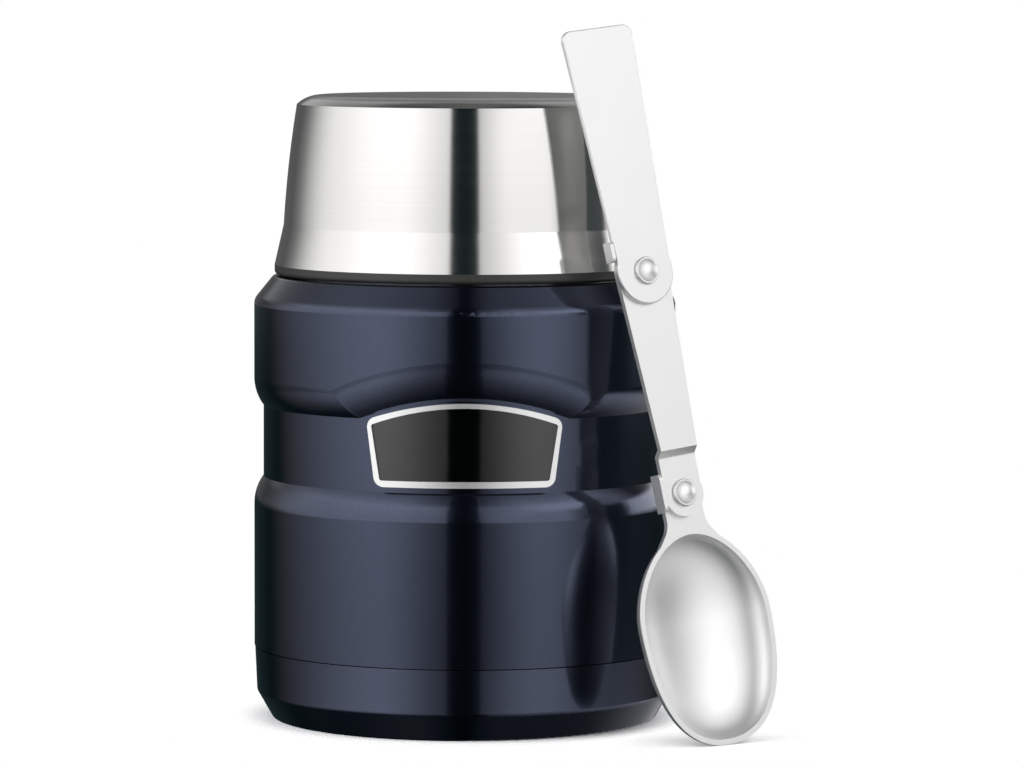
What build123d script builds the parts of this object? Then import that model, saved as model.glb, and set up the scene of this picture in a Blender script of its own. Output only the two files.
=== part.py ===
from build123d import *
import os
from math import atan2, cos, radians, sin, tan

# An insulated food jar: a double-walled steel vessel, a screw-in stopper, a steel cup that screws on
# as the lid, and a folding spoon that stands beside it. Millimetres, +Z up, the badge faces -Y.
# The origin is the middle of the ring that the jar stands on.

# ---- jar body, driving dimensions ----
body_radius = 47.5          # both bands of the body
foot_radius = 43.4          # outer edge of the ring that stands on the table
foot_width = 4.0
chamfer_height = 6.1        # sloping edge above the foot
chamfer_inset = 0.6         # how far the top of that slope stays inside the body radius
chamfer_round = 1.6
foot_round = 0.8
cap_inset = 0.15            # the base cap stays this far inside the body radius at the joint
base_recess = 2.6           # height of the sunk middle of the base
seam_height = 16.2          # joint between the base cap and the outer shell
seam_gap = 0.25
lower_band_top = 48.4       # where the lower band starts to roll in to the waist
roll_height = 6.2           # height of each roll between band and waist
waist_depth = 2.1
waist_height = 16.0         # straight part of the waist
upper_band_height = 16.6    # straight part of the upper band
shoulder_angle = 51.0       # slope of the shoulder above horizontal
shoulder_round = 3.0
shoulder_rise = 6.4         # from the top of the band to the flat that faces the lid
shoulder_edge_round = 1.0
neck_inset = 9.3            # body radius minus the neck's outer radius
neck_height = 12.7          # from the shoulder flat to the mouth
outer_wall = 0.5
inner_wall = 0.5

# ---- raised arch over the badge ----
arch_rise = 4.2             # how far the waist climbs at the middle of the badge
arch_half_angle = 30.5      # where the arch meets the level edge
arch_draft = 3.0            # slope at which the arch runs out into the band
arch_inset = 0.05           # the arch's roll stops this far inside the band
arch_margin = 2.0           # how far the arch's slope is carried on outside the band
roll_overrun = 6.0          # degrees that the upper rolls run on into the waist they stand on

# ---- inner vessel ----
vacuum_gap = 2.9            # between the waist and the well
well_floor = 8.6            # inside height of the floor
well_corner = 9.0
well_weld = 22.0            # height of the weld between the tube and the bottom
well_shoulder_drop = 12.5   # the well starts to narrow this far under the shoulder flat
well_neck_drop = 2.5        # and has reached the neck this far under it
neck_vacuum = 1.2
getter_radius = 7.0
getter_height = 1.2
seal_radius = 2.2
seal_height = 1.4

# ---- badge ----
badge_width_top = 44.8      # along the curve of the waist
badge_width_bottom = 40.6
badge_lift = 1.3            # above the lower edge of the waist
badge_side_height = 14.6    # at the corners
badge_crown = 3.9           # extra height in the middle
badge_corner = 2.2
badge_window_corner = 0.6
badge_border = 1.05
badge_border_low = 1.4
badge_plate_depth = 0.7
badge_frame_depth = 1.2

# ---- lid ----
lid_gap = 0.3               # between the shoulder flat and the lid's rim
lid_inset = 4.6             # body radius minus the radius of the lid's rim
rim_height = 2.2            # black rim under the steel
flare_height = 9.0
neck_clearance = 0.8        # between the neck and the liner where the flare ends
lid_side_height = 27.0
lid_side_inset = 2.95
lid_side_bow = 0.35
lid_crown_inset = 5.3
lid_crown_height = 2.1
lid_corner_share = 0.6      # how much of a wall's thickness the corner drops on its inside
lid_wall = 0.5
rim_lap = 0.2               # the liner's rim and bowl share this much height
rim_round = 0.9
liner_gap = 0.15
liner_wall = 1.2
liner_floor = 1.4
band_gap = 1.3              # between the neck and the liner's thread band
band_start = 1.4            # above the black rim
band_height = 6.0

# ---- stopper ----
plug_clearance = 1.1        # between the plug and the neck
plug_depth = 12.0           # below the mouth
plug_step = 1.6             # how far the plug steps in behind its gasket
flange_height = 2.2
flange_gap = 0.3            # between the flange and the mouth
grip_height = 11.4
grip_step = 1.0             # slope between the flange and the grip
grip_round = 1.2
grip_gap = 0.9              # between the grip and the lid's liner
grip_flutes = 24
flute_radius = 1.5
flute_depth = 0.7
stopper_wall = 1.8
recess_length = 67.0        # room for the folded spoon
recess_width = 38.0
recess_depth = 8.4
recess_round = 1.5
clip_width = 10.0
clip_depth = 1.3
clip_height = 1.6
clip_drop = 0.4             # below the stopper's top
gasket_height = 3.0
gasket_bulge = 0.9
gasket_flat = 1.2           # width of the gasket's flat faces
cover_wall = 1.2
cover_inset = 0.6
cover_round = 0.8
cover_skirt = 3.0
foam_gap = 0.15

# ---- spoon ----
sheet = 1.2                 # thickness of the three stamped pieces
sheet_round = 0.3           # on the edges of the handle's two faces
running_gap = 0.05          # between pieces that turn on each other
link_length = 49.1          # rivet to rivet
handle_length = 54.3        # upper rivet to the end of the handle
handle_end_width = 18.8
handle_pivot_width = 13.6
handle_head_radius = 7.25   # the round end is a little wider than the blade
handle_corner = 2.2
link_upper_width = 13.6
link_lower_width = 9.8
link_end_radius = 5.2
joggle = 1.6                # how far the link steps forward to pass over the bowl
joggle_start = 8.7
joggle_run = 1.5
joggle_bend = 0.4           # inside radius of the step's two bends
strap_width = 10.2
strap_end_radius = 5.1
strap_flare = 4.4           # how far each side spreads where the strap runs into the bowl
strap_flare_start = 7.2     # below the lower rivet
strap_flare_end = 12.5
strap_bend = 5.0
bowl_start = 8.0            # lower rivet to the bowl
bowl_tip = 55.8             # lower rivet to the tip
bowl_width = 35.0
bowl_widest = 28.3          # lower rivet to the widest place
bowl_depth = 7.2
bowl_fullness_up = 0.50     # 0.55 is an ellipse, more is squarer
bowl_fullness_down = 0.66
tab_thickness = 0.9
tab_gap = 0.15
lower_tab_start = -3.6      # from the lower rivet
lower_tab_length = 8.4
lower_tab_height = 2.0      # above the face of the strap
lower_tab_round = 1.2
upper_tab_start = 3.0       # from the upper rivet
upper_tab_length = 4.4
upper_tab_height = 1.5      # above the face of the link
upper_tab_round = 0.8
rivet_radius = 1.6
rivet_gap = 0.05
head_radius = 2.55
head_height = 0.8
back_head_height = 0.6
back_head_round = 0.35
washer_radius = 3.05
washer_height = 0.7
washer_chamfer = 0.2

# ---- where the spoon stands ----
spoon_turn = 32.9           # about the vertical, from facing the front
spoon_lean = 12.0           # back towards the jar
spoon_tilt = 6.1            # to the left in its own plane
spoon_standoff = 12.8       # lower rivet in front of the body radius
spoon_aside = 17.3          # lower rivet to the right of the jar's middle

# ---- for the cuts and the picking of corners ----
spare = 1.0                 # how far a cutting solid runs past what it cuts
same_place = 0.01           # two corners closer than this are one

# ---- worked out from these ----
waist_radius = body_radius - waist_depth
waist_bottom = lower_band_top + roll_height
waist_top = waist_bottom + waist_height
upper_band_bottom = waist_top + roll_height
shoulder_start = upper_band_bottom + upper_band_height
shoulder_top = shoulder_start + shoulder_rise
neck_radius = body_radius - neck_inset
mouth_height = shoulder_top + neck_height
mouth_radius = neck_radius - outer_wall - neck_vacuum - inner_wall
well_radius = waist_radius - outer_wall - vacuum_gap - inner_wall
lip_radius = (neck_radius - mouth_radius) / 2

rim_radius = body_radius - lid_inset
rim_bottom = shoulder_top + lid_gap
steel_bottom = rim_bottom + rim_height
flare_top = steel_bottom + flare_height
side_top = flare_top + lid_side_height
lid_top = side_top + lid_crown_height
flare_radius = neck_radius + neck_clearance + liner_wall + liner_gap + lid_wall
side_radius = flare_radius - lid_side_inset

plug_radius = mouth_radius - plug_clearance
plug_bottom = mouth_height - plug_depth
flange_bottom = mouth_height + flange_gap
flange_top = flange_bottom + flange_height
stopper_top = flange_top + grip_height

link_face = running_gap + joggle
handle_face = link_face + sheet + running_gap


def revolved(face):
    """A full turn of a flat face about the jar's axis."""
    return revolve(face, axis=Axis.Z, revolution_arc=360)


def ring(outer, inner, low, high):
    """A plain ring about the jar's axis."""
    solid = Pos(0, 0, (low + high) / 2) * Cylinder(outer, high - low)
    return solid - Pos(0, 0, (low + high) / 2) * Cylinder(inner, high - low + 2 * spare)


# ---------------------------------------------------------------- jar body
def body_form(offset, bottom):
    """The outside of the body above bottom, moved inwards by offset."""
    return core_form(offset, bottom) + (upper_form(offset) & arch_form(offset))


def core_form(offset, bottom):
    """The lower band and the waist, as a solid of revolution that ends inside the upper band."""
    band = body_radius - offset
    waist = waist_radius - offset
    with BuildSketch(Plane.XZ) as profile:
        with BuildLine():
            low = Line((0, bottom), (band, bottom))
            side = Line(low @ 1, (band, lower_band_top))
            roll = TangentArc(side @ 1, (waist, waist_bottom), tangent=(0, 1))
            middle = Line(roll @ 1, (waist, shoulder_start))
            top = Line(middle @ 1, (0, shoulder_start))
            Line(top @ 1, low @ 0)
        make_face()
    return revolved(profile.sketch)


def roll_arc(start, lean, corner):
    """The arc that leaves start along lean and turns in through corner, run on a little past it."""
    chord = Vector(*corner) - Vector(*start)
    half = Vector(*lean).get_angle(chord)
    radius = chord.length / 2 / sin(radians(half))
    return JernArc(start, lean, radius, -2 * half - roll_overrun)


def upper_form(offset):
    """The upper band, the shoulder and the neck, down to the roll that leads in to the level waist."""
    band = body_radius - offset
    waist = waist_radius - offset
    neck = neck_radius - offset
    top = shoulder_top - offset
    turn = 90 - shoulder_angle
    edge_round = shoulder_edge_round - offset
    drop = edge_round * (1 - cos(radians(shoulder_angle)))
    high = mouth_height - lip_radius
    with BuildSketch(Plane.XZ) as profile:
        with BuildLine():
            roll = roll_arc((band, upper_band_bottom), (0, -1), (waist, waist_top))
            upper = Line(roll @ 0, (band, shoulder_start))
            bend = JernArc(upper @ 1, (0, 1), shoulder_round - offset, turn)
            rise = top - drop - (bend @ 1).Y
            slope = PolarLine(bend @ 1, rise / sin(radians(shoulder_angle)), 180 - shoulder_angle)
            crest = JernArc(slope @ 1, slope % 1, edge_round, shoulder_angle)
            flat = Line(crest @ 1, (neck, top))
            side = Line(flat @ 1, (neck, high))
            mouth = Line(side @ 1, (0, high))
            axis = Line(mouth @ 1, (0, (roll @ 1).Y))
            Line(axis @ 1, roll @ 1)
        make_face()
    return revolved(profile.sketch)


def arch_form(offset):
    """The space above the arch: the same roll, sheared so that it climbs at the front."""
    band = body_radius - offset
    waist = waist_radius - offset
    climb = arch_rise / (waist_radius * (1 - cos(radians(arch_half_angle))))
    base = waist_top + arch_rise - climb * waist_radius
    lean = Vector(-sin(radians(arch_draft)), -cos(radians(arch_draft)))
    edge = base + roll_height
    high = 2 * mouth_height + climb * body_radius
    with BuildSketch(Plane.XZ) as profile:
        with BuildLine():
            roll = roll_arc((band - arch_inset, edge), lean, (waist, base))
            far = Line(roll @ 0, Vector(band - arch_inset, edge) - lean * arch_margin)
            side = Line(far @ 1, ((far @ 1).X, high))
            top = Line(side @ 1, (0, high))
            axis = Line(top @ 1, (0, (roll @ 1).Y))
            Line(axis @ 1, roll @ 1)
        make_face()
    shear = Matrix([[1, 0, 0, 0], [0, 1, 0, 0], [0, -climb, 1, 0]])
    return revolved(profile.sketch).transform_geometry(shear)


def outer_shell():
    """The lacquered outer casing: two bands, the waist with its arch, the shoulder and the neck."""
    bottom = seam_height + seam_gap / 2
    return body_form(0, bottom) - body_form(outer_wall, bottom - spare)


def base_cap():
    """The outer bottom: a drawn cup with a standing ring and a sunk middle."""
    top = seam_height - seam_gap / 2
    rim = body_radius - cap_inset
    edge = body_radius - chamfer_inset
    inner_foot = foot_radius - foot_width
    wall = outer_wall
    half = outer_wall / 2
    with BuildSketch(Plane.XZ) as profile:
        with BuildLine():
            Polyline(
                (0, base_recess), (inner_foot - base_recess, base_recess), (inner_foot, 0),
                (foot_radius, 0), (edge, chamfer_height), (rim, top), (rim - wall, top),
                (edge - wall, chamfer_height + half), (foot_radius - half, wall),
                (inner_foot + half, wall), (inner_foot - base_recess + half, base_recess + wall),
                (0, base_recess + wall), (0, base_recess),
            )
        make_face()
        outer = [v for v in profile.vertices() if abs(v.X - edge) < same_place]
        fillet(outer, chamfer_round)
        foot = [v for v in profile.vertices()
                if abs(v.X - foot_radius) < same_place and v.Y < same_place]
        fillet(foot, foot_round)
    cap = revolved(profile.sketch)
    hole = Pos(0, 0, base_recess + wall / 2) * Cylinder(seal_radius / 2, 2 * wall)
    return cap - hole


def well_outline(offset, low):
    """The inside of the food well, moved outwards by offset, from low up to the mouth."""
    well = well_radius + offset
    neck = mouth_radius + offset
    start = shoulder_top - well_shoulder_drop
    end = shoulder_top - well_neck_drop
    top = mouth_height - lip_radius
    middle = (start + end) / 2
    with BuildLine() as line:
        side = Line((well, low), (well, start))
        half = ((well + neck) / 2, middle)
        lower = TangentArc(side @ 1, half, tangent=(0, 1))
        upper = TangentArc(half, (neck, end), tangent=lower % 1)
        Line(upper @ 1, (neck, top))
    return line


def inner_shell():
    """The food well's tube, narrowed to the neck and rolled outwards into the drinking lip."""
    top = mouth_height - lip_radius
    inside = well_outline(0, well_weld)
    outside = well_outline(inner_wall, well_weld)
    lip_middle = (neck_radius + mouth_radius) / 2
    with BuildSketch(Plane.XZ) as wall:
        with BuildLine():
            add(inside.line)
            add(outside.line)
            Line((well_radius, well_weld), (well_radius + inner_wall, well_weld))
            Line((mouth_radius, top), (mouth_radius + inner_wall, top))
        make_face()
    with BuildSketch(Plane.XZ) as lip:
        with BuildLine():
            ThreePointArc((mouth_radius, top), (lip_middle, mouth_height), (neck_radius, top))
            Line((neck_radius, top), (neck_radius - inner_wall, top))
            ThreePointArc(
                (neck_radius - inner_wall, top),
                (lip_middle, mouth_height - inner_wall),
                (mouth_radius + inner_wall, top),
            )
            Line((mouth_radius + inner_wall, top), (mouth_radius, top))
        make_face()
    return revolved(wall.sketch) + revolved(lip.sketch)


def inner_bottom():
    """The well's floor: a drawn dish with a wide corner, welded to the tube."""
    low = well_floor - inner_wall
    with BuildSketch(Plane.XZ) as profile:
        with BuildLine():
            Polyline((0, low), (well_radius + inner_wall, low), (well_radius + inner_wall, well_weld),
                     (well_radius, well_weld), (well_radius, well_floor), (0, well_floor), (0, low))
        make_face()
        outer = [v for v in profile.vertices() if v.X > well_radius + same_place and v.Y < low + same_place]
        fillet(outer, well_corner + inner_wall)
        inner = [v for v in profile.vertices()
                 if abs(v.X - well_radius) < same_place and abs(v.Y - well_floor) < same_place]
        fillet(inner, well_corner)
    return revolved(profile.sketch)


def getter():
    """The pill in the vacuum that soaks up stray gas, spot-welded under the well."""
    top = well_floor - inner_wall
    return Pos(0, 0, top - getter_height / 2) * Cylinder(getter_radius, getter_height)


def vacuum_seal():
    """The plug that closes the pump-out hole in the base: a stem with a low head inside."""
    roof = base_recess + outer_wall
    stem = Pos(0, 0, base_recess + outer_wall / 2) * Cylinder(seal_radius / 2, outer_wall)
    head = Pos(0, 0, roof + (seal_height - outer_wall) / 2) * Cylinder(seal_radius, seal_height - outer_wall)
    return stem + head


# ---------------------------------------------------------------- badge
def flattened(width):
    """The straight width that spans an arc of this length on the waist."""
    return 2 * waist_radius * sin(width / waist_radius / 2)


def badge_outline(border, low_border, corner):
    """The badge unrolled flat: narrower below, crowned above, rounded at its corners."""
    low = waist_bottom + badge_lift + low_border
    high = waist_bottom + badge_lift + badge_side_height - border
    half_low = flattened(badge_width_bottom) / 2 - border
    half_high = flattened(badge_width_top) / 2 - border
    crown = waist_bottom + badge_lift + badge_side_height + badge_crown - border
    with BuildSketch(Plane.XZ) as outline:
        with BuildLine():
            Line((-half_low, low), (half_low, low))
            Line((half_low, low), (half_high, high))
            ThreePointArc((half_high, high), (0, crown), (-half_high, high))
            Line((-half_high, high), (-half_low, low))
        make_face()
        fillet(outline.vertices(), corner)
    return outline.sketch


def badge_block(outline, depth):
    """A piece of the badge: the outline cuts its front out of a ring that lies on the waist."""
    band = ring(waist_radius + depth, waist_radius, lower_band_top, upper_band_bottom + arch_rise)
    return band & extrude(outline, amount=2 * body_radius, dir=(0, -1, 0))


def badge_pieces():
    """The bright frame and the plain dark plate inside it."""
    outer = badge_block(badge_outline(0, 0, badge_corner), badge_frame_depth)
    inside = badge_outline(badge_border, badge_border_low, badge_window_corner)
    window = badge_block(inside, badge_frame_depth + spare)
    plate = badge_block(inside, badge_plate_depth)
    return outer - window, plate


# ---------------------------------------------------------------- lid
def lid_form(offset, bottom):
    """The outside of the steel cup, moved inwards by offset, as a solid of revolution."""
    lean = (side_radius - flare_radius) / 2
    middle = (flare_radius + lean + lid_side_bow - offset, (flare_top + side_top) / 2)
    slope = (rim_radius - flare_radius) / flare_height
    with BuildSketch(Plane.XZ) as profile:
        with BuildLine():
            foot = rim_radius + slope * (steel_bottom - bottom) - offset
            low = Line((0, bottom), (foot, bottom))
            flare = Line(low @ 1, (flare_radius - offset, flare_top))
            end = (side_radius - offset, side_top - offset * lid_corner_share)
            side = ThreePointArc(flare @ 1, middle, end)
            inset = lid_crown_inset + offset * (1 - lid_corner_share)
            crown = (side_radius - inset, lid_top - offset)
            TangentArc(crown, side @ 1, tangent=(1, 0))
            Line(crown, (0, lid_top - offset))
            Line((0, lid_top - offset), (0, bottom))
        make_face()
    return revolved(profile.sketch)


def lid_shell():
    """The steel cup."""
    return lid_form(0, steel_bottom) - lid_form(lid_wall, steel_bottom - spare)


def lid_liner():
    """The black bowl inside the steel cup, with its visible rim and the band that bears the thread."""
    skin = lid_wall + liner_gap
    bowl = lid_form(skin, steel_bottom - rim_lap) - lid_form(skin + liner_wall, rim_bottom)
    ceiling = lid_top - skin - liner_floor
    above = Pos(0, 0, ceiling + lid_top / 2) * Cylinder(body_radius, lid_top)
    cap = lid_form(skin, steel_bottom) & above
    inner = rim_radius - skin - liner_wall
    with BuildSketch(Plane.XZ) as profile:
        with BuildLine():
            Polyline((inner, rim_bottom), (rim_radius, rim_bottom), (rim_radius, steel_bottom),
                     (inner, steel_bottom), (inner, rim_bottom))
        make_face()
        outer = [v for v in profile.vertices()
                 if v.X > rim_radius - same_place and v.Y < rim_bottom + same_place]
        fillet(outer, rim_round)
    band_low = steel_bottom + band_start
    band = lid_form(skin + liner_wall / 2, rim_bottom)
    band &= ring(rim_radius, neck_radius + band_gap, band_low, band_low + band_height)
    return bowl + cap + revolved(profile.sketch) + band


# ---------------------------------------------------------------- stopper
def recess_form():
    """The well in the stopper's top that holds the folded spoon."""
    deep = stopper_top - recess_depth
    with BuildSketch(Plane.XY.offset(deep)) as floor:
        SlotOverall(recess_length, recess_width)
    well = extrude(floor.sketch, amount=recess_depth + spare)
    return fillet(well.edges().group_by(Axis.Z)[0], recess_round)


def stopper_body():
    """The black stopper: a fluted grip, a flange over the mouth and a hollow plug."""
    grip = lid_inner_radius(stopper_top) - grip_gap
    flange = lid_inner_radius(flange_top) - grip_gap
    stem = plug_radius - plug_step
    seat = plug_bottom + gasket_height
    grip_bottom = flange_top + grip_step
    with BuildSketch(Plane.XZ) as profile:
        with BuildLine():
            Polyline(
                (0, plug_bottom), (stem, plug_bottom), (stem, seat), (plug_radius, seat),
                (plug_radius, flange_bottom), (flange, flange_bottom), (flange, flange_top),
                (grip, grip_bottom), (grip, stopper_top), (0, stopper_top), (0, plug_bottom),
            )
        make_face()
        edge = [v for v in profile.vertices()
                if v.X > grip - same_place and v.Y > stopper_top - same_place]
        fillet(edge, grip_round)
    body = revolved(profile.sketch)
    with BuildPart() as flutes:
        with PolarLocations(grip + flute_radius - flute_depth, grip_flutes):
            Cylinder(flute_radius, grip_height, align=(Align.CENTER, Align.CENTER, Align.MIN))
    body -= Pos(0, 0, grip_bottom) * flutes.part
    body -= recess_form()
    roof = stopper_top - recess_depth - stopper_wall
    hollow = stem - stopper_wall
    body -= Pos(0, 0, (plug_bottom + roof) / 2) * Cylinder(hollow, roof - plug_bottom)
    return body + spoon_clips()


def spoon_clips():
    """Two springy lips at the sides of the recess that hold the folded spoon down."""
    middle = stopper_top - clip_drop - clip_height / 2
    lip = Pos(0, (recess_width - clip_depth) / 2, middle) * Box(clip_width, clip_depth, clip_height)
    return lip + mirror(lip, about=Plane.XZ)


def lid_inner_radius(height):
    """The radius of the liner's inside at this height, on the straight line along the lid's side."""
    share = (height - flare_top) / lid_side_height
    return flare_radius - lid_side_inset * share - lid_wall - liner_gap - liner_wall


def stopper_gasket():
    """The silicone ring round the foot of the plug."""
    inner = plug_radius - plug_step
    flat = inner + gasket_flat
    outer = plug_radius + gasket_bulge
    top = plug_bottom + gasket_height
    with BuildSketch(Plane.XZ) as profile:
        with BuildLine():
            Line((inner, plug_bottom), (flat, plug_bottom))
            ThreePointArc((flat, plug_bottom), (outer, (plug_bottom + top) / 2), (flat, top))
            Line((flat, top), (inner, top))
            Line((inner, top), (inner, plug_bottom))
        make_face()
    return revolved(profile.sketch)


def stopper_cover():
    """The dish that closes the plug from below and holds the foam in."""
    hollow = plug_radius - plug_step - stopper_wall
    disc = Pos(0, 0, plug_bottom - cover_wall / 2) * Cylinder(plug_radius - cover_inset, cover_wall)
    disc = fillet(disc.edges().group_by(Axis.Z)[0], cover_round)
    skirt = ring(hollow, hollow - cover_wall, plug_bottom, plug_bottom + cover_skirt)
    return disc + skirt


def stopper_insulation():
    """The foam block inside the plug."""
    hollow = plug_radius - plug_step - stopper_wall - cover_wall
    roof = stopper_top - recess_depth - stopper_wall - foam_gap
    return Pos(0, 0, (plug_bottom + roof) / 2) * Cylinder(hollow - foam_gap, roof - plug_bottom)


# ---------------------------------------------------------------- spoon
# The spoon's own frame: the lower rivet is the origin, +Y runs up the handle, +Z faces forward and
# Z = 0 is the front of the bowl's strap.
def plate(face, back):
    """A flat stamped piece whose back is at this height."""
    return Pos(0, 0, back) * extrude(face, amount=sheet)


def bowl_egg(inset, flatten):
    """Half the bowl's outline turned about the spoon's long axis and flattened, a smooth egg."""
    wide = bowl_width / 2 - inset
    rise = bowl_widest - bowl_start - inset
    fall = bowl_tip - bowl_widest - inset
    top = (0, rise - bowl_widest)
    side = (wide, -bowl_widest)
    tip = (0, -fall - bowl_widest)
    up = bowl_fullness_up
    down = bowl_fullness_down
    with BuildSketch() as half:
        with BuildLine():
            Bezier(top, (up * wide, top[1]), (wide, up * rise - bowl_widest), side)
            Bezier(side, (wide, -down * fall - bowl_widest), (down * wide, tip[1]), tip)
            Line(tip, top)
        make_face()
    egg = revolve(half.sketch, axis=Axis.Y, revolution_arc=360)
    return scale(egg, by=(1, 1, flatten))


def stop_tab(inner, start, length, low, high, corner):
    """A tab bent up along the left edge of a plate, with its top corners rounded."""
    middle = start + length / 2
    block = Box(tab_thickness, length, high - low)
    block = fillet(block.edges().filter_by(Axis.X).group_by(Axis.Z)[-1], corner)
    return Pos(-inner - tab_thickness / 2, middle, (low + high) / 2) * block


def tab_root(inner, start, length):
    """The flat stretch of plate that reaches out to a tab."""
    edge = inner + tab_thickness
    return Pos(-edge / 2, start + length / 2) * Rectangle(edge, length, mode=Mode.PRIVATE)


def spoon_bowl():
    """The bowl, the strap that carries the lower rivet, and the stop tab bent up beside it."""
    outer = bowl_egg(0, (bowl_depth + sheet) / (bowl_width / 2))
    inner = bowl_egg(sheet, bowl_depth / (bowl_width / 2 - sheet))
    away = Pos(0, 0, bowl_width) * Box(4 * bowl_width, 6 * bowl_width, 2 * bowl_width)
    half = strap_width / 2
    wide = half + strap_flare
    side = link_end_radius + tab_gap
    with BuildSketch() as strap:
        with BuildLine():
            Polyline(
                (-half, 0), (-half, -strap_flare_start), (-wide, -strap_flare_end),
                (wide, -strap_flare_end), (half, -strap_flare_start), (half, 0), (-half, 0),
            )
        make_face()
        fillet([v for v in strap.vertices() if abs(v.Y + strap_flare_start) < same_place], strap_bend)
        Circle(strap_end_radius)
        add(tab_root(side, lower_tab_start, lower_tab_length))
    tab = stop_tab(side, lower_tab_start, lower_tab_length, -sheet, lower_tab_height, lower_tab_round)
    bowl = (outer - away) + plate(strap.sketch, -sheet) + tab - (inner - away)
    return bowl - Cylinder(rivet_radius, 4 * sheet)


def handle_half_width(up):
    """Half the handle's width at this distance above the upper rivet."""
    widen = (handle_end_width - handle_pivot_width) / 2 / handle_length
    return handle_pivot_width / 2 + widen * up


def link_side():
    """The link seen from its side: a strip that steps forward, with rounded bends."""
    step_end = joggle_start + joggle_run
    slant = sheet * tan(atan2(joggle, joggle_run) / 2)
    low = -2 * link_end_radius
    high = link_length + link_upper_width
    with BuildSketch(Plane.YZ) as strip:
        with BuildLine():
            Polyline(
                (low, running_gap), (joggle_start, running_gap), (step_end, link_face),
                (high, link_face), (high, link_face + sheet), (step_end - slant, link_face + sheet),
                (joggle_start - slant, running_gap + sheet), (low, running_gap + sheet),
                (low, running_gap),
            )
        make_face()
        bends = [v for v in strip.vertices() if low + sheet < v.X < high - sheet]
        tight = [v for v in bends
                 if min(abs(v.X - step_end), abs(v.X + slant - joggle_start)) < same_place]
        fillet(tight, joggle_bend)
        fillet([v for v in bends if v not in tight], joggle_bend + sheet)
    return extrude(strip.sketch, amount=link_upper_width, both=True)


def spoon_link():
    """The middle piece: wide above, narrow below, with a step that lifts it over the bowl's rim."""
    top = link_length
    low = joggle_start + joggle_run
    upper = link_upper_width / 2
    lower = link_lower_width / 2
    inner = handle_half_width(upper_tab_start + upper_tab_length) + tab_gap
    with BuildSketch() as face:
        with BuildLine():
            Polyline(
                (-lower, 0), (-lower, low), (-upper, top), (upper, top), (lower, low), (lower, 0),
                (-lower, 0),
            )
        make_face()
        Circle(link_end_radius)
        with Locations((0, top)):
            Circle(upper)
        add(tab_root(inner, top + upper_tab_start, upper_tab_length))
    tall = link_face + 2 * sheet
    blank = extrude(face.sketch, amount=tall) & link_side()
    high = link_face + sheet + upper_tab_height
    tab = stop_tab(inner, top + upper_tab_start, upper_tab_length, link_face, high, upper_tab_round)
    bores = Cylinder(rivet_radius + rivet_gap, 4 * tall) + Pos(0, top, 0) * Cylinder(rivet_radius, 4 * tall)
    return blank + tab - bores


def spoon_handle():
    """The top piece: a flat blade with a round head, widening to a square end with rounded corners."""
    wide = handle_end_width / 2
    narrow = handle_pivot_width / 2
    with BuildSketch() as face:
        with BuildLine():
            Polyline((-narrow, 0), (-wide, handle_length), (wide, handle_length), (narrow, 0), (-narrow, 0))
        make_face()
        fillet(face.vertices().group_by(Axis.Y)[-1], handle_corner)
        Circle(handle_head_radius)
    blade = plate(face.sketch, handle_face)
    blade = fillet(blade.edges().filter_by(Axis.Z, reverse=True), sheet_round)
    blade -= Cylinder(rivet_radius + rivet_gap, 4 * (handle_face + sheet))
    return Pos(0, link_length, 0) * blade


def rivet(back, front, up):
    """A rivet with a low head behind and a domed head in front, at this distance up the spoon."""
    seat = front + washer_height
    shank = Pos(0, 0, (back + seat) / 2) * Cylinder(rivet_radius, seat - back)
    heel = Pos(0, 0, back - back_head_height / 2) * Cylinder(head_radius, back_head_height)
    heel = fillet(heel.edges().group_by(Axis.Z)[0], back_head_round)
    ball = (head_radius ** 2 + head_height ** 2) / (2 * head_height)
    dome = Pos(0, 0, seat + head_height - ball) * Sphere(ball)
    dome &= Pos(0, 0, seat + ball) * Box(4 * ball, 4 * ball, 2 * ball)
    return Pos(0, up, 0) * (shank + heel + dome)


def washer(front, up):
    """The ring under a rivet's domed head."""
    disc = Pos(0, 0, front + washer_height / 2) * Cylinder(washer_radius, washer_height)
    disc = chamfer(disc.edges().group_by(Axis.Z)[-1], washer_chamfer)
    return Pos(0, up, 0) * (disc - Pos(0, 0, front) * Cylinder(rivet_radius, 4 * washer_height))


def spoon_plane(height):
    """The spoon's frame in the jar's frame, with the lower rivet at this height."""
    turn = radians(spoon_turn)
    out = Vector(sin(turn), -cos(turn), 0)
    across = Vector(cos(turn), sin(turn), 0)
    up = Vector(0, 0, 1)
    lean = radians(spoon_lean)
    tilt = radians(spoon_tilt)
    climb = up * cos(lean) - out * sin(lean)
    face = out * cos(lean) + up * sin(lean)
    side = across * cos(tilt) + climb * sin(tilt)
    middle = out * (body_radius + spoon_standoff) + across * spoon_aside + up * height
    return Plane(origin=middle, x_dir=side, z_dir=face)


def spoon_pieces():
    """Every piece of the spoon, standing on the tip of its bowl."""
    lower_front = running_gap + sheet + running_gap
    upper_front = handle_face + sheet + running_gap
    pieces = {
        "spoon_bowl": spoon_bowl(),
        "spoon_link": spoon_link(),
        "spoon_handle": spoon_handle(),
        "rivet_lower": rivet(-sheet, lower_front, 0),
        "rivet_upper": rivet(link_face, upper_front, link_length),
        "washer_lower": washer(lower_front, 0),
        "washer_upper": washer(upper_front, link_length),
    }
    drop = (spoon_plane(0).location * pieces["spoon_bowl"]).bounding_box().min.Z
    stand = spoon_plane(-drop)
    print("lower rivet", [round(v, 4) for v in stand.origin])
    print("upper rivet", [round(v, 4) for v in stand.from_local_coords((0, link_length, 0))])
    print("spoon faces", [round(v, 6) for v in stand.z_dir])
    return {name: stand.location * piece for name, piece in pieces.items()}


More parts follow.
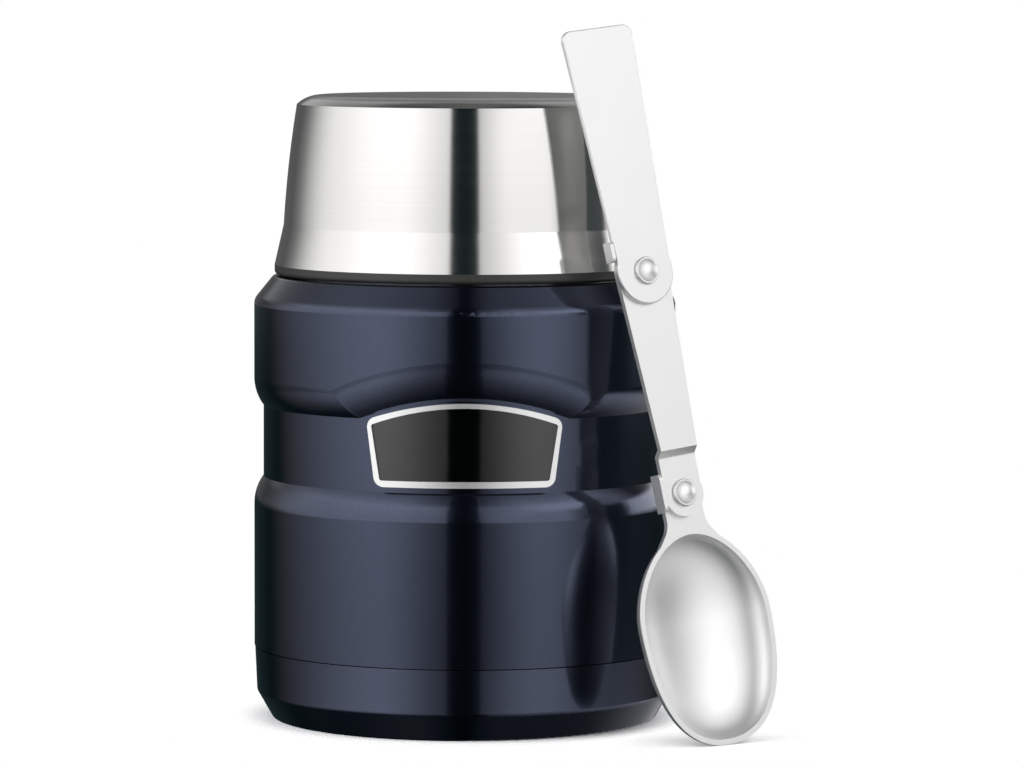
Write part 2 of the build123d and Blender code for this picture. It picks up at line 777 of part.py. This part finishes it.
def jar_pieces():
    """Every piece of the jar, its stopper and its lid."""
    frame, plain = badge_pieces()
    return {
        "outer_shell": outer_shell(),
        "base_cap": base_cap(),
        "inner_shell": inner_shell(),
        "inner_bottom": inner_bottom(),
        "getter": getter(),
        "vacuum_seal": vacuum_seal(),
        "badge_frame": frame,
        "badge_plate": plain,
        "stopper_body": stopper_body(),
        "stopper_cover": stopper_cover(),
        "stopper_insulation": stopper_insulation(),
        "stopper_gasket": stopper_gasket(),
        "lid_shell": lid_shell(),
        "lid_liner": lid_liner(),
    }


def write(pieces):
    """One STEP file for each named piece."""
    os.makedirs("parts", exist_ok=True)
    for name, piece in pieces.items():
        export_step(piece, f"parts/{name}.step")


write(jar_pieces())
write(spoon_pieces())
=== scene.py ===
# %% [markdown]
# # An insulated food jar with a folding spoon
#
# The jar is a steel vessel with two walls and a vacuum between them. A lacquered casing, a bright badge,
# a steel cup that screws on as the lid, a black stopper under it and a spoon in three stamped pieces make
# up the rest. Their solids come from CAD, at their real size and place, so this script never moves them.
# It gives each one its finish, adds the screw threads that CAD leaves out, and lights the whole.
#
# Everything is in metres, +Z up. The badge faces -Y, where the camera stands.

# %% Load the frame
import bpy
from math import cos, pi, radians, sin
from mathutils import Matrix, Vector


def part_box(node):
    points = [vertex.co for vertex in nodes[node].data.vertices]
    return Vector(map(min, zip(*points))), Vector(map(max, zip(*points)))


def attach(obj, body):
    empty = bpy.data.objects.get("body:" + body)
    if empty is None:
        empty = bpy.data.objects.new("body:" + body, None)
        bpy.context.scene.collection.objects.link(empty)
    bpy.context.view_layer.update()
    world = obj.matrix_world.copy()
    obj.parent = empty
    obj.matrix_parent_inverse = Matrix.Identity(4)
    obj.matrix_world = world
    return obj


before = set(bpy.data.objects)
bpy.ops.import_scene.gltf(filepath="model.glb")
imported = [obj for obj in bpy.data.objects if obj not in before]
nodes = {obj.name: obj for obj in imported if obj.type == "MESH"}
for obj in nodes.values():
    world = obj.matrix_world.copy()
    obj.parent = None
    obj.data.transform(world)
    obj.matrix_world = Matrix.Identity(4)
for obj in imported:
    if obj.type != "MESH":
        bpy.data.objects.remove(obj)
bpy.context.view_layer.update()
mm = 0.001
micron = 0.000001

# %% [markdown]
# ## Camera
#
# A product picture is taken from far away with a long lens, so that upright sides stay parallel. A short
# lens close by would also fill the frame, but it would bulge the jar towards the viewer. So the camera
# stands more than a metre off and looks down a little. Its direction is built from three turns: to the
# right, then down, then a hair of roll.

# %% Set up the camera
sensor_width = 36.0
focal_length = 186.7
camera_place = (0.0, -1.1966, 0.1682)
look_right = radians(0.512)
look_down = radians(4.446)
roll = radians(0.156)

lens = bpy.data.cameras.new("camera")
lens.sensor_width = sensor_width
lens.lens = focal_length
camera = bpy.data.objects.new("camera", lens)
turn = Matrix.Rotation(-look_right, 4, "Z") @ Matrix.Rotation(pi / 2 - look_down, 4, "X")
camera.matrix_world = Matrix.Translation(camera_place) @ turn @ Matrix.Rotation(roll, 4, "Z")
bpy.context.collection.objects.link(camera)
bpy.context.scene.camera = camera
print("camera", round(-camera_place[1], 3), "m in front of the jar,", focal_length, "mm lens")

# %% [markdown]
# ## Sums with shader sockets
#
# A finish is made of sums on positions and noise. Drawn as nodes, ten sums are thirty boxes. Written with
# this small class they stay one line each: it wraps the output of a node, and plus, minus and times on it
# add the Math nodes. Everything else comes from one method, node, which takes a node's type, its settings
# and what goes into its sockets.

# %% A wire that can be added and multiplied
class Wire:
    def __init__(self, tree, socket=None):
        self.tree = tree
        self.socket = socket

    def node(self, kind, settings, sockets, out=0):
        made = self.tree.nodes.new("ShaderNode" + kind)
        for name, value in settings.items():
            setattr(made, name, value)
        for name, value in sockets.items():
            if isinstance(value, Wire):
                self.tree.links.new(value.socket, made.inputs[name])
            else:
                made.inputs[name].default_value = value
        return Wire(self.tree, made.outputs[out]) if made.outputs else None

    def math(self, operation, first, second=0.0):
        return self.node("Math", {"operation": operation}, {0: first, 1: second})

    def __add__(self, other):
        return self.math("ADD", self, other)

    def __radd__(self, other):
        return self.math("ADD", other, self)

    def __sub__(self, other):
        return self.math("SUBTRACT", self, other)

    def __rsub__(self, other):
        return self.math("SUBTRACT", other, self)

    def __mul__(self, other):
        return self.math("MULTIPLY", self, other)

    def __rmul__(self, other):
        return self.math("MULTIPLY", other, self)

    def ramp(self, start, end, low=0.0, high=1.0):
        """Runs smoothly from low to high while this wire goes from start to end."""
        sockets = {"Value": self, "From Min": start, "From Max": end, "To Min": low, "To Max": high}
        return self.node("MapRange", {"interpolation_type": "SMOOTHSTEP"}, sockets)


print("wires ready")

# %% [markdown]
# ## Small helpers
#
# A few steps come back in every finish: where a point lies, how far it is from the axis, and what lies
# between two numbers or two colours. Colours go through a Mix node, because a Math node would turn them
# grey. Its sockets for colours share their names with others, so they are picked by number.

# %% Points, lengths and mixtures
share_input, first_input, second_input, colour_output = 0, 6, 7, 2


def place_of(start):
    """The place that is shaded, in the object's own metres."""
    return start.node("TexCoord", {}, {}, out="Object")


def parts(wire):
    """The x, y and z of a vector."""
    split = wire.node("SeparateXYZ", {}, {0: wire})
    return [Wire(wire.tree, socket) for socket in split.socket.node.outputs]


def length(wire):
    """How long a vector is."""
    return wire.node("VectorMath", {"operation": "LENGTH"}, {0: wire}, out="Value")


def between(share, first, second):
    """A number between two others."""
    return first + (second - first) * share


def blend(wire, share, first, second):
    """A colour between two others."""
    sockets = {share_input: share, first_input: first, second_input: second}
    return wire.node("Mix", {"data_type": "RGBA"}, sockets, out=colour_output)


def material_from(name, make):
    """A material with the shader that make returns for a first wire."""
    material = bpy.data.materials.new(name)
    material.use_nodes = True
    material.node_tree.nodes.clear()
    start = Wire(material.node_tree)
    start.node("OutputMaterial", {}, {"Surface": make(start)})
    return material


print("helpers ready")

# %% [markdown]
# ## Studio light
#
# Polished metal has hardly a colour of its own: it shows the studio. So the studio is the most important
# part of its finish. A photographer puts a tall soft panel on each side, leaves a narrow dark slot between
# them for the camera, and hangs dark cards further round, which draw the dark edges of the jar. Separate
# lamps could make the panels, but their edges would be hard. Here the studio is one large ball round the
# jar, which glows more or less in each direction and which the camera looks through. The world outside it
# is plain white, and is the background.
#
# A direction is given in degrees round, from 0 at the camera to the right, and in degrees up. Each ramp
# below says from where to where the light changes and, if that isn't from 0 to 1, from which level to
# which. The panels differ by height, because each part of the jar mirrors another height. The upright wall
# mirrors what is just below level, since the camera looks down on it, and the lid, which tapers, what is
# just above. Shoulders mirror the top of the studio.

# %% Shade the panel on the left
panel_level = 1.9
dark = 0.007
slot_left = -8.6
slot_right = 8.0
slot_blur = 1.6


def left_panel(azimuth, lid_zone, top_zone):
    """The light on the left, up to the slot."""
    body = azimuth.ramp(-138.0, -44.0) * azimuth.ramp(-48.0, -6.0, 1.0, 0.25)
    lid = azimuth.ramp(-146.0, -92.0, 0.0, 0.89) + azimuth.ramp(-100.0, -56.0, 0.0, 0.22)
    lid = lid * azimuth.ramp(-42.0, -6.0, 1.0, 0.66)
    top = azimuth.ramp(-150.0, -66.0) * azimuth.ramp(-48.0, -6.0, 1.0, 0.3)
    panel = between(top_zone, between(lid_zone, body, lid), top)
    return panel * azimuth.ramp(slot_left - slot_blur, slot_left, 1.0, 0.0)


print("left panel, level", panel_level, "up to", slot_left, "degrees")

# %% [markdown]
# ## The right panel
#
# The spoon stands on the right, so this side has more to light. The spoon leans, and its flat faces mirror
# what is more than 16 degrees up. The left wall inside its bowl looks past the panel, so it has a lamp of
# its own, far round on the right. The undersides of the bands mirror what is well below level, and a dark
# card beside the panel darkens the jar's wall there. One even panel would be simpler, but then the spoon
# would be as dark as the wall beside it.

# %% Shade the panel on the right
def right_panel(azimuth, height, lid_zone, top_zone):
    """The light on the right, from the slot on."""
    card = height.ramp(-8.0, -7.2, 0.5, 0.08)
    body = azimuth.ramp(2.0, 42.0, 0.12, 0.87) * azimuth.ramp(44.0, 70.0, 1.0, 0.6)
    body = body * azimuth.ramp(67.0, 75.0, 1.0, card) * azimuth.ramp(100.0, 140.0, 1.0, 0.1)
    lid = azimuth.ramp(2.0, 30.0, 0.5, 0.97) * azimuth.ramp(54.0, 74.0, 1.0, 0.05)
    bowl_lamp = azimuth.ramp(97.0, 106.0) * azimuth.ramp(134.0, 158.0, 1.25, 0.0)
    spoon = azimuth.ramp(2.0, 56.0, 0.5, 1.3) * azimuth.ramp(70.0, 86.0, 1.0, 0.35)
    spoon = spoon * azimuth.ramp(96.0, 120.0, 1.0, 0.1)
    top = azimuth.ramp(2.0, 42.0, 0.15, 0.9) * azimuth.ramp(78.0, 122.0, 1.0, 0.04)
    under = azimuth.ramp(2.0, 34.0, 0.3, 0.8) * azimuth.ramp(110.0, 150.0, 1.0, 0.4)
    panel = between(lid_zone, body, lid + bowl_lamp)
    panel = between(height.ramp(16.0, 22.0), panel, spoon)
    panel = between(top_zone, panel, top)
    panel = between(height.ramp(-16.0, -10.0, 1.0, 0.0), panel, under)
    return panel * azimuth.ramp(slot_right, slot_right + slot_blur)


print("right panel, from", slot_right, "degrees")

# %% [markdown]
# ## Up and down, and behind
#
# Both panels fade towards the floor and towards the ceiling. The edge of the table takes a little off them
# just below level. Right behind the jar there is a weak light, which only grazing views show, so it draws
# a thin rim inside the outline. One card that fades evenly would be simpler, but then the lid, the bands
# and the foot would all be lit alike.

# %% Shade the heights and the back
def light_by_height(height):
    """How much of the panels' light is there at each height."""
    rise = height.ramp(-50.0, -6.0, 0.05, 0.78) + height.ramp(4.0, 18.0, 0.0, 0.08)
    rise = rise + height.ramp(22.0, 30.0, 0.0, 0.1)
    rise = rise * height.ramp(25.0, 78.0, 1.0, 0.22) * height.ramp(-80.0, -68.0, 0.1, 1.0)
    table_edge = height.ramp(-5.8, -3.8, 0.68, 0.92) * height.ramp(-8.2, -7.0, 0.85, 1.0)
    return rise * between(height.ramp(-13.0, -9.0), 1.0, table_edge)


def light_behind(azimuth, height):
    """The weak light at the back, the same on both sides."""
    round_back = azimuth.math("ABSOLUTE", azimuth)
    edge = height.ramp(-3.0, 0.0, 0.01, 0.055) * height.ramp(24.0, 40.0, 1.0, 0.1)
    back = height.ramp(12.0, 20.0) * height.ramp(50.0, 66.0, 1.0, 0.3)
    return edge * round_back.ramp(126.0, 142.0) + back * round_back.ramp(118.0, 158.0, 0.0, 0.2)


def studio(start):
    """How bright the studio is in each direction."""
    to_degrees = 180 / pi
    x, y, z = parts(start.node("VectorMath", {"operation": "NORMALIZE"}, {0: place_of(start)}))
    azimuth = start.math("ARCTAN2", x, 0.0 - y) * to_degrees
    height = start.math("ARCSINE", z) * to_degrees
    lid_zone = height.ramp(-2.5, 1.5)
    top_zone = height.ramp(28.0, 42.0)
    panels = left_panel(azimuth, lid_zone, top_zone) + right_panel(azimuth, height, lid_zone, top_zone)
    level = panels * light_by_height(height) + light_behind(azimuth, height) + dark
    return level * panel_level


print("studio shaded, darkest level", dark * panel_level)

# %% [markdown]
# ## The ball and the background
#
# The ball is a mesh with an Emission shader, and Ray Visibility hides it from the camera. A world with the
# same nodes would light the jar as well, but then it would also be the background. The dim parts of the
# ball lean to blue-green, which gives the dark strips on the lacquer their cold cast.

# %% Build the studio
ball_radius = 3.0
dim_below = 0.12
dim_tint = (0.45, 1.0, 1.15, 1)
white = (1, 1, 1, 1)


def glow(start):
    level = studio(start)
    tint = blend(start, level.ramp(0.0, dim_below), dim_tint, white)
    lit = start.node("VectorMath", {"operation": "SCALE"}, {0: tint, "Scale": level})
    return start.node("Emission", {}, {"Color": lit})


scene = bpy.context.scene
scene.view_settings.view_transform = "Standard"
world = bpy.data.worlds.new("white")
world.use_nodes = True
world.node_tree.nodes["Background"].inputs["Color"].default_value = white
scene.world = world

bpy.ops.mesh.primitive_uv_sphere_add(segments=48, ring_count=24, radius=ball_radius)
ball = bpy.context.object
ball.name = "studio"
ball.visible_camera = False
ball.data.materials.append(material_from("studio_glow", glow))
print("studio ball of radius", ball_radius, "m with", len(ball.data.polygons), "faces")

# %% [markdown]
# ## Floor
#
# The jar stands on white paper. All of the paper would show grey where the jar takes half of its light, so
# only the part near the jar and near the spoon's tip is there, and it thins out into the white background.
# It is twice as white for the camera as it is for the jar, which leaves the contact shadow and nothing
# else, and puts no more light on the jar. Mirrors don't see it: to them the studio only gets darker
# towards the bottom.

# %% Lay the floor
floor_radius = 0.12
floor_sides = 128
paper_white = 0.9
paper_shown = 1.8
jar_patch = (0.044, 0.052)
tip_patch = (0.006, 0.024)
bowl_points = [nodes["spoon_bowl"].matrix_world @ v.co for v in nodes["spoon_bowl"].data.vertices]
spoon_tip = min(bowl_points, key=lambda point: point.z)


def paper(start, level):
    return start.node("BsdfDiffuse", {}, {"Color": (level, level, level, 1)})


def thin_paper(start):
    place = place_of(start)
    from_tip = start.node("VectorMath", {"operation": "SUBTRACT"}, {0: place, 1: tuple(spoon_tip)})
    seen = start.node("LightPath", {}, {}, out="Is Camera Ray")
    lit = start.node("MixShader", {}, {0: seen, 1: paper(start, paper_white), 2: paper(start, paper_shown)})
    clear = start.node("BsdfTransparent", {}, {})
    thin = length(place).ramp(*jar_patch) * length(from_tip).ramp(*tip_patch)
    return start.node("MixShader", {}, {0: thin, 1: lit, 2: clear})


bpy.ops.mesh.primitive_circle_add(vertices=floor_sides, radius=floor_radius, fill_type="NGON")
floor = bpy.context.object
floor.name = "floor"
floor.visible_glossy = False
floor.data.materials.append(material_from("floor_paper", thin_paper))
print("floor of radius", floor_radius, "m, spoon tip at", [round(v, 4) for v in spoon_tip])

# %% [markdown]
# ## Finishes
#
# Each finish is a recipe: a function that gets a first wire and returns what goes into the sockets of the
# Principled shader. Numbers that are the same all over are put straight into their sockets, and only what
# changes over the surface comes as a wire. Three helpers serve nearly all recipes: an even grain, the fine
# lines of something that was turned, and a bump that follows either of them. Images could do the same, but
# they would need unwrapped surfaces and would blur close up.

# %% A material from a recipe
def coated(name, recipe):
    """A material whose Principled shader gets the values of the recipe."""
    return material_from(name, lambda start: start.node("BsdfPrincipled", {}, recipe(start)))


def grain(start, per_metre, detail):
    """Fine noise from 0 to 1, so many cells to the metre."""
    sockets = {"Vector": place_of(start), "Scale": per_metre, "Detail": detail}
    return start.node("TexNoise", {}, sockets, out="Fac")


def turned(start, per_metre, wander):
    """Fine lines round the jar's axis, as a lathe or a polishing wheel leaves them."""
    place = place_of(start)
    flat = start.node("VectorMath", {"operation": "MULTIPLY"}, {0: place, 1: (1, 1, 0)})
    x, y, z = parts(place)
    along = (z - length(flat)) * per_metre
    lines = start.node("CombineXYZ", {}, {0: x * wander, 1: y * wander, 2: along})
    return start.node("TexNoise", {}, {"Vector": lines, "Scale": 1.0, "Detail": 3.0}, out="Fac")


def bumped(start, height, distance):
    """A normal that follows a height, which reaches this many metres."""
    return start.node("Bump", {}, {"Height": height, "Distance": distance})


print("finishes ready")

# %% [markdown]
# ## Navy lacquer
#
# The casing is sprayed with a clear, tinted lacquer over a metallic ground. The ground acts as a dark
# blue metal with a soft gloss, and the clear coat adds a sharp, faint reflection of its own. A plain
# glossy paint would show only that sharp one, and lose the wide glow of the panels. Metal flakes vary the
# colour a little, and the coat is not quite flat. The neck under the lid is left bare.

# %% Mix the navy lacquer
bare_steel = (0.60, 0.59, 0.57, 1)
navy_deep = (0.036, 0.045, 0.075, 1)
navy_light = (0.051, 0.062, 0.103, 1)
bare_edge = 0.2 * mm
bare_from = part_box("lid_liner")[0][2] - bare_edge


def navy_lacquer(start):
    flakes = grain(start, 5200.0, 1.0)
    clouds = grain(start, 60.0, 2.0)
    bare = parts(place_of(start))[2].ramp(bare_from, bare_from + bare_edge)
    navy = blend(start, flakes.ramp(0.3, 0.7), navy_deep, navy_light)
    return {
        "Base Color": blend(start, bare, navy, bare_steel),
        "Metallic": 1.0,
        "Roughness": 0.13 + clouds * 0.05 + bare * 0.14,
        "Coat Weight": (1.0 - bare) * 0.45,
        "Coat Roughness": 0.04,
        "Normal": bumped(start, flakes, 4 * micron),
    }


lacquer = coated("navy_lacquer", navy_lacquer)
print("lacquer mixed, neck bare above", round(bare_from / mm, 2), "mm")

# %% [markdown]
# ## Steel
#
# The cup is drawn from sheet and polished as it turns, so its gloss breaks up in fine lines round the
# axis. Its crown isn't polished as far, so it is rougher, and its colour there is darkened as painted
# shade. The well inside the jar is left as drawn and is duller. The spoon was tumbled with stones, which
# leaves a fine even grain with no direction. All three are the same steel, with another surface, and the
# spoon's colour is lightened as painted light. Anisotropic gloss would also draw lines out of highlights,
# but the lines themselves show close up, so they are in the colour, the roughness and the bump.

# %% Polish the steels
# Painted shade: the crown's colour is darker than the side's, to stand for the shade on the lid's top band.
crown_painted_shade = (0.32, 0.317, 0.313, 1)
crown_edge = 0.3 * mm
crown_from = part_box("lid_shell")[1][2] - 0.9 * mm


def cup_steel(start):
    lines = turned(start, 5200.0, 12.0)
    # The crown mask darkens the colour there as painted shade, and makes the steel rougher.
    crown = parts(place_of(start))[2].ramp(crown_from, crown_from + crown_edge)
    side = blend(start, lines, (0.60, 0.592, 0.583, 1), (0.655, 0.65, 0.642, 1))
    return {
        "Base Color": blend(start, crown, side, crown_painted_shade),
        "Metallic": 1.0,
        "Roughness": 0.07 + lines * 0.07 + crown * 0.12,
        "Normal": bumped(start, lines, 1.5 * micron),
    }


def well_steel(start):
    lines = turned(start, 2600.0, 30.0)
    return {
        "Base Color": blend(start, lines, bare_steel, (0.68, 0.67, 0.65, 1)),
        "Metallic": 1.0,
        "Roughness": 0.24 + lines * 0.12,
        "Normal": bumped(start, lines, 4 * micron),
    }


def spoon_steel(start):
    fine = grain(start, 3800.0, 3.0)
    worn = grain(start, 120.0, 2.0)
    return {
        # Painted light: these colours are lighter than the cup's steel, which is the same metal, to stand
        # for more light on the spoon.
        "Base Color": blend(start, fine, (0.82, 0.82, 0.815, 1), (0.90, 0.90, 0.895, 1)),
        "Metallic": 1.0,
        "Roughness": 0.36 + fine * 0.1 + worn * 0.06,
        "Normal": bumped(start, fine, 5 * micron),
    }


cup_finish = coated("cup_steel", cup_steel)
well_finish = coated("well_steel", well_steel)
spoon_finish_painted_light = coated("spoon_steel", spoon_steel)
print("steels polished, crown from", round(crown_from / mm, 2), "mm up")

# %% [markdown]
# ## Badge
#
# The badge is a bright stamped frame round a field of black enamel. The frame is plated, so it is the
# brightest metal on the jar. The field is bare and glossy, and all that shows in it is reflection. Black
# plastic mirrors only 4 percent of what it faces, so the field is made as a very dark metal, which mirrors
# a little more.

# %% Finish the badge
def bright_plate(start):
    wear = grain(start, 900.0, 2.0)
    return {
        "Base Color": (0.80, 0.80, 0.80, 1),
        "Metallic": 1.0,
        "Roughness": 0.32 + wear * 0.1,
    }


def black_enamel(start):
    ripple = grain(start, 240.0, 1.0)
    return {
        "Base Color": (0.066, 0.066, 0.067, 1),
        "Metallic": 1.0,
        "Roughness": 0.06 + ripple * 0.06,
        "Normal": bumped(start, ripple, 12 * micron),
    }


bright_finish = coated("bright_plate", bright_plate)
enamel_finish = coated("black_enamel", black_enamel)
print("badge finished")

# %% [markdown]
# ## Plastic, silicone, foam and getter
#
# The stopper and the lid's liner are moulded in black polypropylene from a mould with a fine spark
# texture, which scatters light, so they are never quite black. The gasket is grey silicone. The foam in
# the stopper is closed-cell, with small bubbles, which a Voronoi texture gives better than noise does. The
# getter is a pill of pressed and sintered metal powder, dark and full of pores.

# %% Mix the rest
def black_plastic(start):
    spark = grain(start, 2400.0, 2.0)
    return {
        "Base Color": blend(start, spark, (0.026, 0.026, 0.025, 1), (0.042, 0.041, 0.039, 1)),
        "Roughness": 0.34 + spark * 0.16,
        "Normal": bumped(start, spark, 30 * micron),
    }


def silicone(start):
    dust = grain(start, 700.0, 3.0)
    return {
        "Base Color": blend(start, dust, (0.30, 0.30, 0.30, 1), (0.38, 0.38, 0.37, 1)),
        "Roughness": 0.5 + dust * 0.15,
        "Normal": bumped(start, dust, 10 * micron),
    }


def foam(start):
    cells = start.node("TexVoronoi", {}, {"Vector": place_of(start), "Scale": 900.0}, out="Distance")
    return {
        "Base Color": blend(start, cells, (0.70, 0.69, 0.66, 1), (0.86, 0.85, 0.82, 1)),
        "Roughness": 0.85,
        "Normal": bumped(start, cells, 200 * micron),
    }


def sintered(start):
    pores = grain(start, 5000.0, 4.0)
    return {
        "Base Color": blend(start, pores, (0.16, 0.155, 0.15, 1), (0.30, 0.29, 0.28, 1)),
        "Metallic": 1.0,
        "Roughness": 0.55 + pores * 0.2,
        "Normal": bumped(start, pores, 30 * micron),
    }


plastic_finish = coated("black_plastic", black_plastic)
silicone_finish = coated("silicone", silicone)
foam_finish = coated("foam", foam)
getter_finish = coated("sintered", sintered)
print("plastic, silicone, foam and getter mixed")

# %% [markdown]
# ## Finishes on the CAD pieces
#
# Each solid keeps its mesh and only changes what is in its material slots. The pieces could be modelled
# again with finer meshes, but those would lose the fit that the joints need. One table lists every node,
# so that none is left without a finish.

# %% Put the finishes on
finish_of = {
    "outer_shell": lacquer,
    "base_cap": lacquer,
    "inner_shell": well_finish,
    "inner_bottom": well_finish,
    "getter": getter_finish,
    "vacuum_seal": well_finish,
    "badge_frame": bright_finish,
    "badge_plate": enamel_finish,
    "stopper_body": plastic_finish,
    "stopper_cover": plastic_finish,
    "stopper_insulation": foam_finish,
    "stopper_gasket": silicone_finish,
    "lid_shell": cup_finish,
    "lid_liner": plastic_finish,
    "spoon_bowl": spoon_finish_painted_light,
    "spoon_link": spoon_finish_painted_light,
    "spoon_handle": spoon_finish_painted_light,
    "rivet_lower": spoon_finish_painted_light,
    "rivet_upper": spoon_finish_painted_light,
    "washer_lower": spoon_finish_painted_light,
    "washer_upper": spoon_finish_painted_light,
}
for name, finish in finish_of.items():
    for material_slot in nodes[name].material_slots:
        material_slot.material = finish
print("finished", len(finish_of), "of", len(nodes), "CAD nodes")

# %% [markdown]
# ## Screw threads
#
# The cup screws onto the outside of the steel neck. On thin sheet a thread is rolled, so it is a low round
# ridge. The lid's liner has its own ridge inside, and the stopper one round its plug. A thread is a profile
# carried round on a helix, rising by its pitch on each turn and running out to nothing at both ends. A
# screw modifier could make it, but not the run-outs, so the rings of points are worked out here and joined
# into one closed mesh. The profile is given in shares of the ridge's width and height, and its feet are
# sunk into the wall, so that no gap shows.

# %% Shape a thread
steps_per_turn = 96
run_out_turns = 0.12
sunk = 0.1 * mm
profile = [(-0.5, 0.0), (-0.32, 0.55), (-0.12, 0.95), (0.12, 0.95), (0.32, 0.55), (0.5, 0.0)]


def thread(name, body, finish, wall, height, low, pitch, turns):
    """A helical ridge on a wall of this radius, standing out by height, or inwards if height is below 0."""
    width = pitch / 2
    sink = sunk * (1 if height > 0 else -1)
    count = int(steps_per_turn * turns)
    run_out_steps = steps_per_turn * run_out_turns
    points = []
    for i in range(count + 1):
        angle = 2 * pi * i / steps_per_turn
        run_out = min(1.0, i / run_out_steps, (count - i) / run_out_steps)
        lift = height * sin(run_out * pi / 2)
        middle = low + pitch * i / steps_per_turn
        for across, out in profile:
            radius = wall - sink + (lift + sink) * out
            points.append((radius * cos(angle), radius * sin(angle), middle + across * width))
    size = len(profile)
    faces = [tuple(range(size)), tuple(count * size + k for k in reversed(range(size)))]
    for i in range(count):
        for k in range(size):
            a = i * size + k
            b = i * size + (k + 1) % size
            faces.append((a, a + size, b + size, b))
    mesh = bpy.data.meshes.new(name)
    mesh.from_pydata(points, [], faces)
    mesh.materials.append(finish)
    mesh.shade_smooth()
    piece = bpy.data.objects.new(name, mesh)
    bpy.context.collection.objects.link(piece)
    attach(piece, body)
    print(name, "turns", turns, "radius", round(wall / mm, 2), "mm")


print("thread profile of", len(profile), "points,", steps_per_turn, "steps to the turn")

# %% [markdown]
# ## Where the threads sit
#
# Each ridge has to lie on its wall, so the walls are measured on the CAD pieces instead of being written
# here as numbers, which would be wrong as soon as a size changes. The ridges clear each other, because the
# lid and the stopper lift straight off.

# %% Roll the threads
pitch = 3.0 * mm
turns = 1.4
ridge = 0.55 * mm
slack = 0.1 * mm


def radii(name, low, high):
    """The smallest and the largest radius of a node about the jar's axis, between two heights."""
    points = [nodes[name].matrix_world @ v.co for v in nodes[name].data.vertices]
    found = [point.xy.length for point in points if low < point.z < high]
    return min(found), max(found)


rim_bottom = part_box("lid_liner")[0][2]
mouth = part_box("inner_shell")[1][2]
gasket_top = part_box("stopper_gasket")[1][2]
neck_wall = radii("outer_shell", rim_bottom, mouth)[1]
liner_wall = radii("lid_liner", rim_bottom + pitch, mouth)[0]
plug_wall = radii("stopper_body", gasket_top - slack, mouth)[1]
neck_low = rim_bottom + 1.5 * pitch
plug_low = gasket_top + pitch
thread("neck_thread", "jar", well_finish, neck_wall, ridge, neck_low, pitch, turns)
thread("lid_thread", "lid", plastic_finish, liner_wall, -ridge, neck_low, pitch, turns)
thread("plug_thread", "stopper", plastic_finish, plug_wall, ridge, plug_low, pitch, turns)

# %% [markdown]
# ## End
#
# The script ends here.

# %% Finish
print("done")
